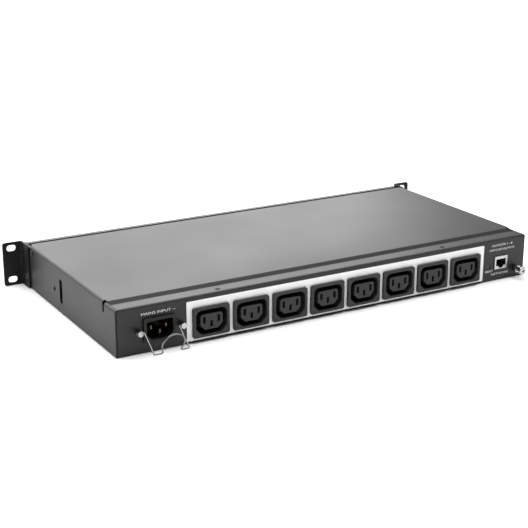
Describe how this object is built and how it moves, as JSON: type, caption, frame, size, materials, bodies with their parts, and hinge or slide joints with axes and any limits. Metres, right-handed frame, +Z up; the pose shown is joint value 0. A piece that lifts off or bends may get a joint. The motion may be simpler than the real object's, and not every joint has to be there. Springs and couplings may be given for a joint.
{
  "type": "rack power strip",
  "caption": "Low rack-mount power strip: folded sheet case with a row of appliance outlets, a mains inlet with a wire retaining bail, a network jack and rack ears.",
  "frame": {"origin": "on the underside of the case, halfway between its side walls and halfway between its front and rear panels", "axes": "+X along the width, towards the mains inlet; +Y out of the rear panel, where the outlets face; +Z up"},
  "size_m": [0.4826, 0.2564, 0.044],
  "materials": {
    "case_paint": "fine-texture powder coat",
    "panel_paint": "satin powder coat",
    "ear_paint": "satin black",
    "label_white": "printed film",
    "outlet_plastic": "fine moulded texture",
    "inlet_plastic": "moulded",
    "plated_steel": "nickel plated",
    "brass": "plain",
    "board": "solder resist",
    "relay_plastic": "moulded",
    "button_plastic": "moulded",
    "light_pipe": "clear moulded",
    "wire_insulation": "extruded"
  },
  "bodies": {
    "case": {"cover": "case_paint", "chassis_tray": "case_paint", "rear_panel": "panel_paint", "front_panel": "panel_paint", "lip_screw_left": "ear_paint", "lip_screw_right": "ear_paint", "ground_nut": "ear_paint", "rack_ear_left": "ear_paint", "rack_ear_right": "ear_paint", "cover_screw_left": "ear_paint", "cover_screw_right": "ear_paint", "ear_screw_left_lower": "ear_paint", "ear_screw_left_upper": "ear_paint", "ear_screw_right_lower": "ear_paint", "ear_screw_right_upper": "ear_paint", "outlet_label": "label_white", "outlet_1": "outlet_plastic", "outlet_2": "outlet_plastic", "outlet_3": "outlet_plastic", "outlet_4": "outlet_plastic", "outlet_5": "outlet_plastic", "outlet_6": "outlet_plastic", "outlet_7": "outlet_plastic", "outlet_8": "outlet_plastic", "inlet_housing": "inlet_plastic", "network_jack_contacts": "inlet_plastic", "reset_switch": "inlet_plastic", "power_module": "inlet_plastic", "inlet_pin_line": "plated_steel", "inlet_pin_neutral": "plated_steel", "inlet_pin_earth": "plated_steel", "bail_post_left": "plated_steel", "bail_post_right": "plated_steel", "network_jack_shell": "plated_steel", "ground_washer": "plated_steel", "ground_screw": "plated_steel", "neutral_busbar": "brass", "earth_busbar": "brass", "board_standoff_1": "brass", "board_standoff_2": "brass", "board_standoff_3": "brass", "board_standoff_4": "brass", "network_board": "board", "controller_board": "board", "outlet_relay_1": "relay_plastic", "outlet_relay_2": "relay_plastic", "outlet_relay_3": "relay_plastic", "outlet_relay_4": "relay_plastic", "outlet_relay_5": "relay_plastic", "outlet_relay_6": "relay_plastic", "outlet_relay_7": "relay_plastic", "outlet_relay_8": "relay_plastic", "status_light_bar": "light_pipe", "line_lead": "wire_insulation", "neutral_lead": "wire_insulation"},
    "bail": {"retention_bail": "plated_steel"},
    "reset": {"reset_button": "button_plastic"}
  },
  "joints": [
    {"name": "bail_pivot", "type": "hinge", "parent": "case", "child": "bail", "pos_m": [0.1811, 0.1167, 0.0206], "axis": [1, 0, 0], "range_deg": [-20, 85]},
    {"name": "reset_press", "type": "slide", "parent": "case", "child": "reset", "axis": [0, -1, 0], "range_m": [0, 0.0005], "stiffness_N_per_m": 2000}
  ]
}
